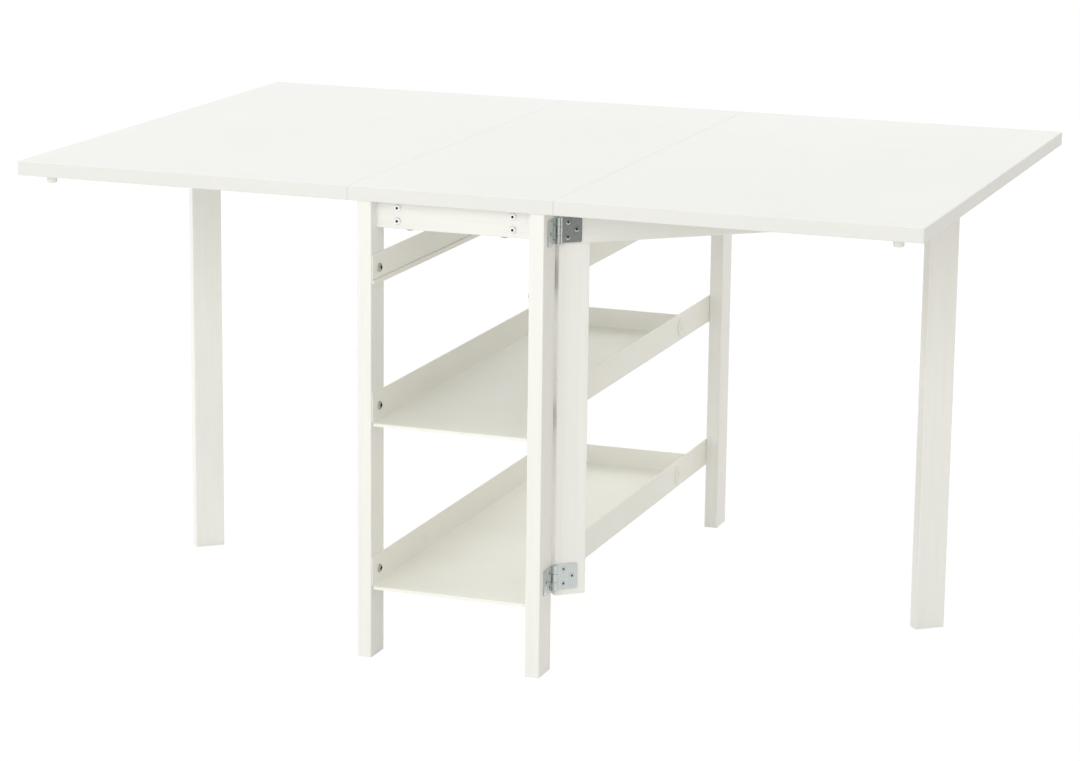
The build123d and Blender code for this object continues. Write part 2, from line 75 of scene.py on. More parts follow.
def camera_axes(turn, tilt, roll):
    """Right, up and backward directions of a camera that is turned to the left, tilted down and rolled."""
    across = Vector((math.cos(turn), math.sin(turn), 0))
    ahead = Vector((-math.sin(turn), math.cos(turn), 0))
    forward = math.cos(tilt) * ahead - math.sin(tilt) * Vector((0, 0, 1))
    raised = math.sin(tilt) * ahead + math.cos(tilt) * Vector((0, 0, 1))
    right = math.cos(roll) * across + math.sin(roll) * raised
    up = math.cos(roll) * raised - math.sin(roll) * across
    return right, up, -forward


camera = bpy.data.objects.new("camera", bpy.data.cameras.new("camera"))
scene.collection.objects.link(camera)
camera.data.sensor_width = SENSOR_WIDTH
camera.data.lens = FOCAL_PIXELS / PHOTO_WIDTH * SENSOR_WIDTH
turned = Matrix(camera_axes(CAMERA_TURN, CAMERA_TILT, CAMERA_ROLL)).transposed()
camera.matrix_world = Matrix.Translation(CAMERA_PLACE) @ turned.to_4x4()
scene.camera = camera
print("lens", round(camera.data.lens, 2), "mm")

# %% [markdown]
# ## White studio
#
# The photograph has a pure white ground with no horizon. The floor is a pale diffuse surface for the light
# that bounces on to the table. For the camera, and in reflections, it is mixed with a plain white glow, which
# keeps only a trace of the table's shadow. The world does the same: it is white where it is seen, and a soft
# fill where it lights.

# %% Make the floor and the world
FLOOR_SIZE = 60.0
FLOOR_DROP = 0.0002
FLOOR_COLOUR = (0.80, 0.79, 0.76, 1)
GLOW_SHARE = 0.95
GLOW_STRENGTH = 1.025
FILL_COLOUR = (1.0, 0.98, 0.922, 1)
FILL_STRENGTH = 0.72


def seen_ray(tree):
    """A value of 1 for rays that show a surface to the camera, straight or by reflection, and otherwise 0."""
    path = tree.nodes.new("ShaderNodeLightPath")
    seen = path.outputs["Is Camera Ray"]
    for ray in ("Is Glossy Ray", "Is Transmission Ray"):
        either = tree.nodes.new("ShaderNodeMath")
        either.operation = "MAXIMUM"
        tree.links.new(seen, either.inputs[0])
        tree.links.new(path.outputs[ray], either.inputs[1])
        seen = either.outputs[0]
    return seen


def white_floor():
    """Pale floor that looks white and keeps a trace of shadow."""
    material = bpy.data.materials.new("white_floor")
    material.use_nodes = True
    tree = material.node_tree
    tree.nodes.clear()
    paint = tree.nodes.new("ShaderNodeBsdfDiffuse")
    paint.inputs["Color"].default_value = FLOOR_COLOUR
    glow = tree.nodes.new("ShaderNodeEmission")
    glow.inputs["Strength"].default_value = GLOW_STRENGTH
    share = tree.nodes.new("ShaderNodeMath")
    share.operation = "MULTIPLY"
    share.inputs[1].default_value = GLOW_SHARE
    mix = tree.nodes.new("ShaderNodeMixShader")
    output = tree.nodes.new("ShaderNodeOutputMaterial")
    tree.links.new(seen_ray(tree), share.inputs[0])
    tree.links.new(share.outputs[0], mix.inputs[0])
    tree.links.new(paint.outputs[0], mix.inputs[1])
    tree.links.new(glow.outputs[0], mix.inputs[2])
    tree.links.new(mix.outputs[0], output.inputs["Surface"])
    return material


def flat_card(name, width, height):
    """Flat rectangle round its own origin."""
    x, y = width / 2, height / 2
    mesh = bpy.data.meshes.new(name)
    mesh.from_pydata([(-x, -y, 0), (x, -y, 0), (x, y, 0), (-x, y, 0)], [], [(0, 1, 2, 3)])
    card = bpy.data.objects.new(name, mesh)
    scene.collection.objects.link(card)
    return card


floor = flat_card("floor", FLOOR_SIZE, FLOOR_SIZE)
floor.location.z = -FLOOR_DROP
floor.data.materials.append(white_floor())

world = bpy.data.worlds.new("studio")
world.use_nodes = True
scene.world = world
world_tree = world.node_tree
world_tree.nodes.clear()
fill = world_tree.nodes.new("ShaderNodeBackground")
fill.inputs["Color"].default_value = FILL_COLOUR
fill.inputs["Strength"].default_value = FILL_STRENGTH
white = world_tree.nodes.new("ShaderNodeBackground")
white.inputs["Color"].default_value = (1, 1, 1, 1)
world_mix = world_tree.nodes.new("ShaderNodeMixShader")
world_output = world_tree.nodes.new("ShaderNodeOutputWorld")
world_tree.links.new(seen_ray(world_tree), world_mix.inputs[0])
world_tree.links.new(fill.outputs[0], world_mix.inputs[1])
world_tree.links.new(white.outputs[0], world_mix.inputs[2])
world_tree.links.new(world_mix.outputs[0], world_output.inputs["Surface"])
print("floor and world made")

# %% [markdown]
# ## Soft boxes
#
# The top and the fronts of the posts are nearly white in the photograph, the faces that look to the right are
# a little darker and warmer, and the trays are lit well inside. Most of the light is the fill. Three soft
# boxes add to it: one in front, one on the left, and one behind that shines into the trays. None is so strong
# that a side of the table goes quite white. A dark card on the right, which only reflections see, gives the
# plated hinges the dark tones that they have in a studio.

# %% Hang the lights
TARGET = Vector((0, 0, 0.45))
SOFT_BOX_SIZE = 3.2
SOFT_BOX_COLOUR = (0.92, 0.96, 1.0)
SOFT_BOXES = [
    ("left_box", Vector((-4.5, -1.0, 2.1)), 55.0),
    ("front_box", Vector((0.2, -5.1, 2.2)), 89.0),
    ("back_box", Vector((0.4, 4.8, 2.5)), 108.0),
]
CARD_PLACE = Vector((2.62, -1.78, 0.45))
CARD_WIDTH = 2.4
CARD_HEIGHT = 0.9
CARD_COLOUR = (0.16, 0.16, 0.16, 1)


def aimed(place, target):
    """Turn and place of an object whose -Z looks from a place to a target."""
    turn = (target - place).to_track_quat("-Z", "Y")
    return Matrix.Translation(place) @ turn.to_matrix().to_4x4()


for name, place, power in SOFT_BOXES:
    lamp = bpy.data.lights.new(name, "AREA")
    lamp.size = SOFT_BOX_SIZE
    lamp.color = SOFT_BOX_COLOUR
    lamp.energy = power
    light = bpy.data.objects.new(name, lamp)
    light.matrix_world = aimed(place, TARGET)
    light.visible_glossy = False
    scene.collection.objects.link(light)

dark_paper = bpy.data.materials.new("dark_paper")
dark_paper.use_nodes = True
dark_paper.node_tree.nodes["Principled BSDF"].inputs["Base Color"].default_value = CARD_COLOUR
card = flat_card("dark_card", CARD_WIDTH, CARD_HEIGHT)
card.matrix_world = aimed(CARD_PLACE, Vector((TARGET.x, TARGET.y, CARD_PLACE.z)))
card.data.materials.append(dark_paper)
card.visible_camera = False
card.visible_diffuse = False
card.visible_shadow = False
print("lights", [name for name, place, power in SOFT_BOXES])

# %% [markdown]
# ## Painted and plated finishes
#
# Every finish is built from nodes on Object coordinates, which are metres on the table, so that a grain or a
# fleck has its real size. Each one starts from the same few steps: a Principled shader, a noise of a given
# size, and a ramp that turns the noise into a narrow range of colour or roughness. Noise keeps mostly to the
# middle of its range, so the ramps run over that part only.

# %% Helpers for the finishes
NOISE_LOW = 0.3
NOISE_HIGH = 0.7


def new_finish(name):
    """Material with a Principled shader, and its node tree and Object coordinates."""
    material = bpy.data.materials.new(name)
    material.use_nodes = True
    tree = material.node_tree
    shader = tree.nodes["Principled BSDF"]
    coordinates = tree.nodes.new("ShaderNodeTexCoord").outputs["Object"]
    return material, tree, shader, coordinates


def stretched(tree, vector, scale, turn=0.0):
    """Coordinates turned about Z and then scaled along each axis."""
    mapping = tree.nodes.new("ShaderNodeMapping")
    mapping.vector_type = "POINT"
    mapping.inputs["Scale"].default_value = scale
    turned_first = tree.nodes.new("ShaderNodeVectorRotate")
    turned_first.rotation_type = "Z_AXIS"
    turned_first.inputs["Angle"].default_value = turn
    tree.links.new(vector, turned_first.inputs["Vector"])
    tree.links.new(turned_first.outputs[0], mapping.inputs["Vector"])
    return mapping.outputs[0]


def noise(tree, vector, scale, detail=3.0, roughness=0.5):
    """Noise value from 0 to 1, with about this many features to the metre."""
    texture = tree.nodes.new("ShaderNodeTexNoise")
    texture.inputs["Scale"].default_value = scale
    texture.inputs["Detail"].default_value = detail
    texture.inputs["Roughness"].default_value = roughness
    tree.links.new(vector, texture.inputs["Vector"])
    return texture.outputs[0]


def between(tree, value, low, high):
    """The middle part of a noise value, spread from low to high."""
    spread = tree.nodes.new("ShaderNodeMapRange")
    spread.inputs["From Min"].default_value = NOISE_LOW
    spread.inputs["From Max"].default_value = NOISE_HIGH
    spread.inputs["To Min"].default_value = low
    spread.inputs["To Max"].default_value = high
    tree.links.new(value, spread.inputs["Value"])
    return spread.outputs[0]


def blended(tree, value, dark, light):
    """Colour between two colours, by the middle part of a noise value."""
    ramp = tree.nodes.new("ShaderNodeValToRGB")
    for element, position, colour in zip(ramp.color_ramp.elements, (NOISE_LOW, NOISE_HIGH), (dark, light)):
        element.position = position
        element.color = (*colour, 1)
    tree.links.new(value, ramp.inputs[0])
    return ramp.outputs[0]


def embossed(tree, shader, height, strength, depth):
    """Gives the shader a bump from a height value. The depth is in metres."""
    bump = tree.nodes.new("ShaderNodeBump")
    bump.inputs["Strength"].default_value = strength
    bump.inputs["Distance"].default_value = depth
    tree.links.new(height, bump.inputs["Height"])
    tree.links.new(bump.outputs[0], shader.inputs["Normal"])


# %% [markdown]
# ## Lacquered board
#
# The three boards of the top are smooth and white, with a low sheen. Sprayed lacquer is never quite flat, so
# a fine ripple of a few millimetres goes into the bump, and a slow drift of tone keeps the large top from
# looking like plain white paper. The edges are banded, and the band is painted a little greyer than the faces
# as painted shade, for upright edges get less light; the upright part of the surface's normal chooses between
# the two.

# %% Finish of the top's boards
BOARD_SHADE = (0.885, 0.883, 0.872)
BOARD_LIGHT = (0.905, 0.903, 0.895)
# The band colours are the face colours darkened as painted shade, for the upright edges get less light.
PAINTED_SHADE_BAND_DARK = (0.785, 0.781, 0.757)
PAINTED_SHADE_BAND_LIGHT = (0.805, 0.801, 0.778)
BOARD_ROUGHNESS = (0.33, 0.42)
DRIFT_SCALE = 2.5
RIPPLE_SCALE = 260.0


def lying_flat(tree):
    """A value of 1 on faces that look up or down, and 0 on upright ones."""
    sides = tree.nodes.new("ShaderNodeSeparateXYZ")
    tree.links.new(tree.nodes.new("ShaderNodeTexCoord").outputs["Normal"], sides.inputs[0])
    level = tree.nodes.new("ShaderNodeMath")
    level.operation = "ABSOLUTE"
    tree.links.new(sides.outputs["Z"], level.inputs[0])
    return level.outputs[0]


def lacquered_board():
    """Smooth white lacquer on board, with painted shade that makes the upright edge band greyer."""
    material, tree, shader, place = new_finish("lacquered_board")
    tone = noise(tree, place, DRIFT_SCALE, detail=2.0)
    # Upright faces take the band colours, which hold painted shade.
    faces_or_shaded_band = tree.nodes.new("ShaderNodeMix")
    faces_or_shaded_band.data_type = "RGBA"
    tree.links.new(lying_flat(tree), faces_or_shaded_band.inputs["Factor"])
    tree.links.new(blended(tree, tone, PAINTED_SHADE_BAND_DARK, PAINTED_SHADE_BAND_LIGHT), faces_or_shaded_band.inputs[6])
    tree.links.new(blended(tree, tone, BOARD_SHADE, BOARD_LIGHT), faces_or_shaded_band.inputs[7])
    tree.links.new(faces_or_shaded_band.outputs[2], shader.inputs["Base Color"])
    tree.links.new(between(tree, noise(tree, place, 40.0), *BOARD_ROUGHNESS), shader.inputs["Roughness"])
    embossed(tree, shader, noise(tree, place, RIPPLE_SCALE, detail=2.0), strength=0.12, depth=0.0002)
    return material


board_finish = lacquered_board()
print("finish", board_finish.name)

# %% [markdown]
# ## Lacquered timber
#
# The posts, aprons and gates are solid timber under the same white lacquer. Close to, the grain still tells
# under the paint as faint lines along each piece. The lines are a noise stretched along the run of the
# timber, so uprights, cross pieces and the slanting gate rails each need their own turn of it.

# %% Finish of the timbers
TIMBER_SHADE = (0.872, 0.863, 0.830)
TIMBER_LIGHT = (0.905, 0.897, 0.866)
GRAIN_ALONG = 5.0
GRAIN_ACROSS = 190.0
TIMBER_ROUGHNESS = (0.32, 0.44)
GATE_TURN = math.radians(frame["joints"][0]["range_deg"][1])


def lacquered_timber(name, scale, turn=0.0):
    """White lacquer over timber whose grain runs along the axis with the small scale."""
    material, tree, shader, place = new_finish(name)
    grain = noise(tree, stretched(tree, place, scale, turn), 1.0, detail=4.0, roughness=0.6)
    tree.links.new(blended(tree, grain, TIMBER_SHADE, TIMBER_LIGHT), shader.inputs["Base Color"])
    tree.links.new(between(tree, noise(tree, place, 60.0), *TIMBER_ROUGHNESS), shader.inputs["Roughness"])
    embossed(tree, shader, grain, strength=0.2, depth=0.00025)
    return material


ALONG_X = (GRAIN_ALONG, GRAIN_ACROSS, GRAIN_ACROSS)
ALONG_Y = (GRAIN_ACROSS, GRAIN_ALONG, GRAIN_ACROSS)
ALONG_Z = (GRAIN_ACROSS, GRAIN_ACROSS, GRAIN_ALONG)
upright_finish = lacquered_timber("lacquered_upright", ALONG_Z)
cross_finish = lacquered_timber("lacquered_cross_piece", ALONG_X)
batten_finish = lacquered_timber("lacquered_batten", ALONG_Y)
gate_rail_finish = lacquered_timber("lacquered_gate_rail", ALONG_Y, GATE_TURN)
print("finishes", upright_finish.name, cross_finish.name, batten_finish.name, gate_rail_finish.name)

# %% [markdown]
# ## Powder-coated steel
#
# The trays and the side rails are folded sheet with a baked powder coat. It is a touch warmer than the
# lacquer, and its skin has the fine even texture of an orange's peel, much smaller than the lacquer's ripple.

# %% Finish of the trays and rails
COAT_SHADE = (0.905, 0.896, 0.838)
COAT_LIGHT = (0.930, 0.921, 0.866)
COAT_ROUGHNESS = (0.36, 0.46)
PEEL_SCALE = 900.0


def powder_coat():
    """Satin white powder coat on steel."""
    material, tree, shader, place = new_finish("powder_coat")
    tone = noise(tree, place, 6.0, detail=2.0)
    tree.links.new(blended(tree, tone, COAT_SHADE, COAT_LIGHT), shader.inputs["Base Color"])
    tree.links.new(between(tree, noise(tree, place, 90.0), *COAT_ROUGHNESS), shader.inputs["Roughness"])
    embossed(tree, shader, noise(tree, place, PEEL_SCALE, detail=1.0), strength=0.25, depth=0.00012)
    return material


coat_finish = powder_coat()
print("finish", coat_finish.name)

# %% [markdown]
# ## Plated steel
#
# Hinges, bolts and screws are zinc plated. Zinc has small crystals that differ a little in tone, and rolling
# leaves fine lines along the sheet. Cells give the crystals, and a stretched noise gives the lines, in the
# roughness and in a slight bump. The bolts' zinc is painted brighter and the screws' greyer and duller, as
# painted reflections of a white studio and of dark surroundings. The recess in a screw's head is painted near
# black as painted shade, for it stays in shadow whatever the studio.

# %% Finish of the hinges, bolts and screws
CRYSTAL_SCALE = 450.0
LINE_SCALE = (2600.0, 2600.0, 120.0)


def zinc_plate(name, shade, light, smoothest, roughest):
    """Plated steel, from a darker to a lighter crystal and from its smoothest to its roughest line."""
    material, tree, shader, place = new_finish(name)
    crystals = tree.nodes.new("ShaderNodeTexVoronoi")
    crystals.inputs["Scale"].default_value = CRYSTAL_SCALE
    tree.links.new(place, crystals.inputs["Vector"])
    apart = tree.nodes.new("ShaderNodeSeparateColor")
    tree.links.new(crystals.outputs["Color"], apart.inputs[0])
    tree.links.new(blended(tree, apart.outputs[0], shade, light), shader.inputs["Base Color"])
    lines = noise(tree, stretched(tree, place, LINE_SCALE), 1.0, detail=3.0)
    tree.links.new(between(tree, lines, smoothest, roughest), shader.inputs["Roughness"])
    embossed(tree, shader, lines, strength=0.06, depth=0.00003)
    shader.inputs["Metallic"].default_value = 1.0
    return material


hinge_finish = zinc_plate("zinc_hinge", (0.57, 0.605, 0.59), (0.60, 0.635, 0.62), 0.16, 0.25)
# The bolts' zinc is painted bright as a painted reflection of the white studio.
bolt_zinc_painted_bright = zinc_plate("zinc_bolt_painted_bright", (0.92, 0.92, 0.91), (0.95, 0.95, 0.94), 0.12, 0.20)
# The screws' zinc is painted grey as a painted reflection of dark surroundings.
screw_zinc_painted_dark = zinc_plate("zinc_screw_painted_dark", (0.44, 0.44, 0.42), (0.54, 0.54, 0.51), 0.22, 0.34)
# The recess is painted near black as painted shade.
recess_painted_shade = zinc_plate("painted_shade_recess", (0.05, 0.051, 0.051), (0.07, 0.071, 0.07), 0.45, 0.60)
print("finishes", hinge_finish.name, bolt_zinc_painted_bright.name, screw_zinc_painted_dark.name, recess_painted_shade.name)

# %% [markdown]
# ## White plastic
#
# The bumpers under the leaves, the stops for the gates and the plugs in the tray sides are moulded plastic.
# It is duller than the lacquer, with a faint mottle from the mould.

# %% Finish of the plastic fittings
PLASTIC_SHADE = (0.875, 0.866, 0.820)
PLASTIC_LIGHT = (0.905, 0.896, 0.852)
PLASTIC_ROUGHNESS = (0.42, 0.52)
MOTTLE_SCALE = 300.0


def moulded_plastic():
    """Dull white moulded plastic."""
    material, tree, shader, place = new_finish("moulded_plastic")
    mottle = noise(tree, place, MOTTLE_SCALE, detail=2.0)
    tree.links.new(blended(tree, mottle, PLASTIC_SHADE, PLASTIC_LIGHT), shader.inputs["Base Color"])
    tree.links.new(between(tree, mottle, *PLASTIC_ROUGHNESS), shader.inputs["Roughness"])
    embossed(tree, shader, noise(tree, place, 1500.0, detail=1.0), strength=0.15, depth=0.00008)
    return material


plastic_finish = moulded_plastic()
print("finish", plastic_finish.name)

# %% [markdown]
# ## Painting the solids
#
# Each solid keeps its shape and only gets a finish. Its name says what it is, so one list of name endings is
# enough to paint the whole table. The first ending that fits is the one that counts.

# %% Give each solid its finish
FINISHES = [
    ("bolts", bolt_zinc_painted_bright),
    ("screws", screw_zinc_painted_dark),
    ("plugs", plastic_finish),
    ("bumpers", plastic_finish),
    ("gate_stop", plastic_finish),
    ("pin", hinge_finish),
    ("pins", hinge_finish),
    ("plate", hinge_finish),
    ("plates", hinge_finish),
    ("tray", coat_finish),
    ("side_rail", coat_finish),
    ("apron", cross_finish),
    ("stretcher", batten_finish),
    ("gate_rail", gate_rail_finish),
    ("post", upright_finish),
    ("gate_stile", upright_finish),
    ("gate_leg", upright_finish),
    ("leaf", board_finish),
    ("centre_top", board_finish),
]

for name, solid in nodes.items():
    finish = next(finish for ending, finish in FINISHES if name.endswith(ending))
    solid.data.materials.clear()
    solid.data.materials.append(finish)
print("painted", len(nodes), "solids")

# %% [markdown]
# ## Screws
#
# Small cross-headed screws hold the hinges, the trays and the rails, and hex-socket bolts hold the
# stretchers. They are all made alike, so one kind of Geometry Nodes tree does it: it turns a head on a lathe,
# cuts the recess into it, and sets a copy on each seat, looking the way that the seat faces and turned at
# random. A countersunk head runs down into its plate, and a pan head stands on its seat. The cutter carries
# the near-black painted shade of the recess, which the faces of the recess keep, so that the last node paints
# only the other faces.

# %% Tree that sets screws on their seats
HEAD_RINGS = 13
HEAD_SIDES = 28
EDGE_SHARE = 0.3
TURN_SEED = 7
HEAD_SIZES = {"Diameter": 0.008, "Rise": 0.0003, "Sink": 0.002, "Edge Power": 4.0, "Recess Length": 0.0045,
              "Recess Width": 0.0011, "Recess Depth": 0.0012}


def add_input(tree, name, kind, value=None):
    """Named input of the tree."""
    socket = tree.interface.new_socket(name, in_out="INPUT", socket_type=kind)
    if value is not None:
        socket.default_value = value
    return socket


def reckon(tree, operation, first, second):
    """Result of a Math node on two values or sockets."""
    node = tree.nodes.new("ShaderNodeMath")
    node.operation = operation
    for index, value in enumerate((first, second)):
        if isinstance(value, (int, float)):
            node.inputs[index].default_value = value
        else:
            tree.links.new(value, node.inputs[index])
    return node.outputs[0]


def upright_vector(tree, z):
    """Vector with only a height."""
    node = tree.nodes.new("ShaderNodeCombineXYZ")
    tree.links.new(z, node.inputs["Z"])
    return node.outputs[0]


def lathe_turned(tree, given):
    """Head of revolution: a cone below its seat and a softened button above it."""
    line = tree.nodes.new("GeometryNodeCurvePrimitiveLine")
    tree.links.new(upright_vector(tree, reckon(tree, "MULTIPLY", given["Sink"], -1)), line.inputs["Start"])
    tree.links.new(upright_vector(tree, given["Rise"]), line.inputs["End"])
    rings = tree.nodes.new("GeometryNodeResampleCurve")
    rings.inputs["Count"].default_value = HEAD_RINGS
    tree.links.new(line.outputs[0], rings.inputs["Curve"])
    height = tree.nodes.new("ShaderNodeSeparateXYZ")
    tree.links.new(tree.nodes.new("GeometryNodeInputPosition").outputs[0], height.inputs[0])
    radius = reckon(tree, "DIVIDE", given["Diameter"], 2)
    cone = reckon(tree, "ADD", radius, reckon(tree, "MINIMUM", height.outputs["Z"], 0))
    climb = reckon(tree, "DIVIDE", reckon(tree, "MAXIMUM", height.outputs["Z"], 0), given["Rise"])
    softened = reckon(tree, "MULTIPLY", reckon(tree, "POWER", climb, given["Edge Power"]), EDGE_SHARE)
    outline = reckon(tree, "MULTIPLY", cone, reckon(tree, "SUBTRACT", 1, softened))
    ring = tree.nodes.new("GeometryNodeCurvePrimitiveCircle")
    ring.inputs["Resolution"].default_value = HEAD_SIDES
    ring.inputs["Radius"].default_value = 1
    turned_head = tree.nodes.new("GeometryNodeCurveToMesh")
    turned_head.inputs["Fill Caps"].default_value = True
    tree.links.new(rings.outputs[0], turned_head.inputs["Curve"])
    tree.links.new(ring.outputs[0], turned_head.inputs["Profile Curve"])
    tree.links.new(outline, turned_head.inputs["Scale"])
    return turned_head.outputs[0]


def cross_bars(tree, given):
    """Cutters of a cross recess: two bars."""
    bars = []
    for across, along in (("X", "Y"), ("Y", "X")):
        size = tree.nodes.new("ShaderNodeCombineXYZ")
        tree.links.new(given["Recess Length"], size.inputs[along])
        tree.links.new(given["Recess Width"], size.inputs[across])
        tree.links.new(reckon(tree, "MULTIPLY", given["Recess Depth"], 2), size.inputs["Z"])
        bar = tree.nodes.new("GeometryNodeMeshCube")
        tree.links.new(size.outputs[0], bar.inputs["Size"])
        bars.append(bar.outputs[0])
    return bars


def hex_key(tree, given):
    """Cutter of a hex socket: one six-sided bar."""
    key = tree.nodes.new("GeometryNodeMeshCylinder")
    key.inputs["Vertices"].default_value = 6
    tree.links.new(reckon(tree, "DIVIDE", given["Recess Length"], 2), key.inputs["Radius"])
    tree.links.new(reckon(tree, "MULTIPLY", given["Recess Depth"], 2), key.inputs["Depth"])
    return [key.outputs[0]]


def recessed(tree, given, head, cutters):
    """The head with its recess cut in. The faces of the recess keep the cutters' painted shade."""
    cut = tree.nodes.new("GeometryNodeMeshBoolean")
    cut.operation = "DIFFERENCE"
    tree.links.new(head, cut.inputs["Mesh 1"])
    for cutter in cutters:
        shaded = tree.nodes.new("GeometryNodeSetMaterial")
        shaded.inputs["Material"].default_value = recess_painted_shade
        tree.links.new(cutter, shaded.inputs["Geometry"])
        lifted = tree.nodes.new("GeometryNodeTransform")
        tree.links.new(shaded.outputs[0], lifted.inputs["Geometry"])
        tree.links.new(upright_vector(tree, given["Rise"]), lifted.inputs["Translation"])
        tree.links.new(lifted.outputs[0], cut.inputs["Mesh 2"])
    return cut.outputs[0]


def outside_recess(tree):
    """Choice of the faces that don't have the recess's painted shade."""
    inside = tree.nodes.new("GeometryNodeMaterialSelection")
    inside.inputs["Material"].default_value = recess_painted_shade
    outside = tree.nodes.new("FunctionNodeBooleanMath")
    outside.operation = "NOT"
    tree.links.new(inside.outputs[0], outside.inputs[0])
    return outside.outputs[0]


def screw_tree(name, cutters):
    """Tree that makes one head with the recess of these cutters and sets it on every seat."""
    tree = bpy.data.node_groups.new(name, "GeometryNodeTree")
    add_input(tree, "Seats", "NodeSocketGeometry")
    for size, value in HEAD_SIZES.items():
        add_input(tree, size, "NodeSocketFloat", value)
    add_input(tree, "Material", "NodeSocketMaterial")
    tree.interface.new_socket("Screws", in_out="OUTPUT", socket_type="NodeSocketGeometry")
    given = tree.nodes.new("NodeGroupInput").outputs
    head = recessed(tree, given, lathe_turned(tree, given), cutters(tree, given))
    facing = tree.nodes.new("GeometryNodeInputNamedAttribute")
    facing.data_type = "FLOAT_VECTOR"
    facing.inputs["Name"].default_value = "facing"
    outward = tree.nodes.new("FunctionNodeAlignRotationToVector")
    outward.axis = "Z"
    tree.links.new(facing.outputs["Attribute"], outward.inputs["Vector"])
    copies = tree.nodes.new("GeometryNodeInstanceOnPoints")
    tree.links.new(given["Seats"], copies.inputs["Points"])
    tree.links.new(head, copies.inputs["Instance"])
    tree.links.new(outward.outputs[0], copies.inputs["Rotation"])
    angle = tree.nodes.new("FunctionNodeRandomValue")
    angle.inputs["Seed"].default_value = TURN_SEED
    angle.inputs[3].default_value = math.pi / 2
    driven = tree.nodes.new("GeometryNodeRotateInstances")
    tree.links.new(copies.outputs[0], driven.inputs["Instances"])
    tree.links.new(upright_vector(tree, angle.outputs[1]), driven.inputs["Rotation"])
    real = tree.nodes.new("GeometryNodeRealizeInstances")
    tree.links.new(driven.outputs[0], real.inputs[0])
    smooth = tree.nodes.new("GeometryNodeSetShadeSmooth")
    tree.links.new(real.outputs[0], smooth.inputs["Geometry"])
    painted = tree.nodes.new("GeometryNodeSetMaterial")
    tree.links.new(smooth.outputs[0], painted.inputs["Geometry"])
    tree.links.new(outside_recess(tree), painted.inputs["Selection"])
    tree.links.new(given["Material"], painted.inputs["Material"])
    output = tree.nodes.new("NodeGroupOutput")
    tree.links.new(painted.outputs[0], output.inputs[0])
    return tree


cross_screws = screw_tree("cross_screws", cross_bars)
hex_bolts = screw_tree("hex_bolts", hex_key)
for tree in (cross_screws, hex_bolts):
    print("tree", tree.name, len(tree.nodes), "nodes")

# %% [markdown]
# The tree needs its seats as points that know which way they face. The modifier is evaluated once into a
# plain mesh and taken off again, so that what rides on a body is an ordinary piece.

# %% Make screws from a list of seats
SHARP_ANGLE = math.radians(35)


def set_screws(name, tree, seats, body, finish, sizes):
    """Screws of one size as one piece that rides on a body. Each seat is a point and a direction."""
    points = bpy.data.meshes.new(name)
    points.from_pydata([point for point, direction in seats], [], [])
    facing = points.attributes.new("facing", "FLOAT_VECTOR", "POINT")
    facing.data.foreach_set("vector", [value for point, direction in seats for value in direction])
    piece = bpy.data.objects.new(name, points)
    scene.collection.objects.link(piece)
    modifier = piece.modifiers.new("screws", "NODES")
    modifier.node_group = tree
    for socket in tree.interface.items_tree:
        if socket.name in sizes:
            modifier[socket.identifier] = sizes[socket.name]
        elif socket.name == "Material":
            modifier[socket.identifier] = finish
    bpy.context.view_layer.update()
    made = bpy.data.meshes.new_from_object(piece.evaluated_get(bpy.context.evaluated_depsgraph_get()))
    piece.modifiers.clear()
    piece.data = made
    made.set_sharp_from_angle(angle=SHARP_ANGLE)
    print(name, len(seats), "screws", len(made.polygons), "faces")
    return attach(piece, body)


# %% [markdown]
# ## Screws of the gate hinges
#
# Each plate of a gate hinge has two countersunk holes near the knuckle and one further out. The plates of the
# frame lie along the post, and those of the gate lie along the gate, which stands open at the joint's whole
# swing. The left gate is the right one turned by half a turn about the middle of the table.

# %% Screw the gate hinges on
PLATE_FACE = 0.003
SCREW_NEAR = 0.0155
SCREW_FAR = 0.0295
SCREW_SPREAD = 0.0115
GATE_SCREW = {"Diameter": 0.0078, "Rise": 0.0002, "Sink": 0.0018, "Recess Length": 0.0046,
              "Recess Width": 0.0014, "Recess Depth": 0.0014}
HINGE_LEVELS = ("upper", "lower")
gate_axis = Vector((*frame["joints"][0]["pos_m"][:2], 0))


def half_turned(seats):
    """The same seats on the other side of the table."""
    turn = Matrix.Rotation(math.pi, 3, "Z")
    return [(turn @ point, turn @ direction) for point, direction in seats]


def plate_seats(along, outward, middle_z):
    """Three seats on a hinge plate that runs from the axis, on the face that looks outward."""
    face = gate_axis - PLATE_FACE * outward + Vector((0, 0, middle_z))
    spots = [(SCREW_NEAR, -SCREW_SPREAD), (SCREW_NEAR, SCREW_SPREAD), (SCREW_FAR, 0)]
    return [(face + reach * along + Vector((0, 0, rise)), outward) for reach, rise in spots]


post_seats = []
gate_seats = []
for level in HINGE_LEVELS:
    plate_low, plate_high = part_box(f"right_{level}_hinge_post_plate")
    middle_z = (plate_low.z + plate_high.z) / 2
    post_seats += plate_seats(Vector((0, -1, 0)), Vector((1, 0, 0)), middle_z)
    gate_along = Vector((math.sin(GATE_TURN), math.cos(GATE_TURN), 0))
    gate_outward = Vector((math.cos(GATE_TURN), -math.sin(GATE_TURN), 0))
    gate_seats += plate_seats(gate_along, gate_outward, middle_z)

hinge_screws = [
    ("post_hinge_screws", post_seats + half_turned(post_seats), "frame"),
    ("right_gate_hinge_screws", gate_seats, "right_gate"),
    ("left_gate_hinge_screws", half_turned(gate_seats), "left_gate"),
]
for name, seats, body in hinge_screws:
    piece = set_screws(name, cross_screws, seats, body, hinge_finish, GATE_SCREW)

# %% [markdown]
# ## Screws of the leaf hinges
#
# The leaf hinges lie flat under the seams. Each plate has two screws, which are driven upwards into the
# boards.

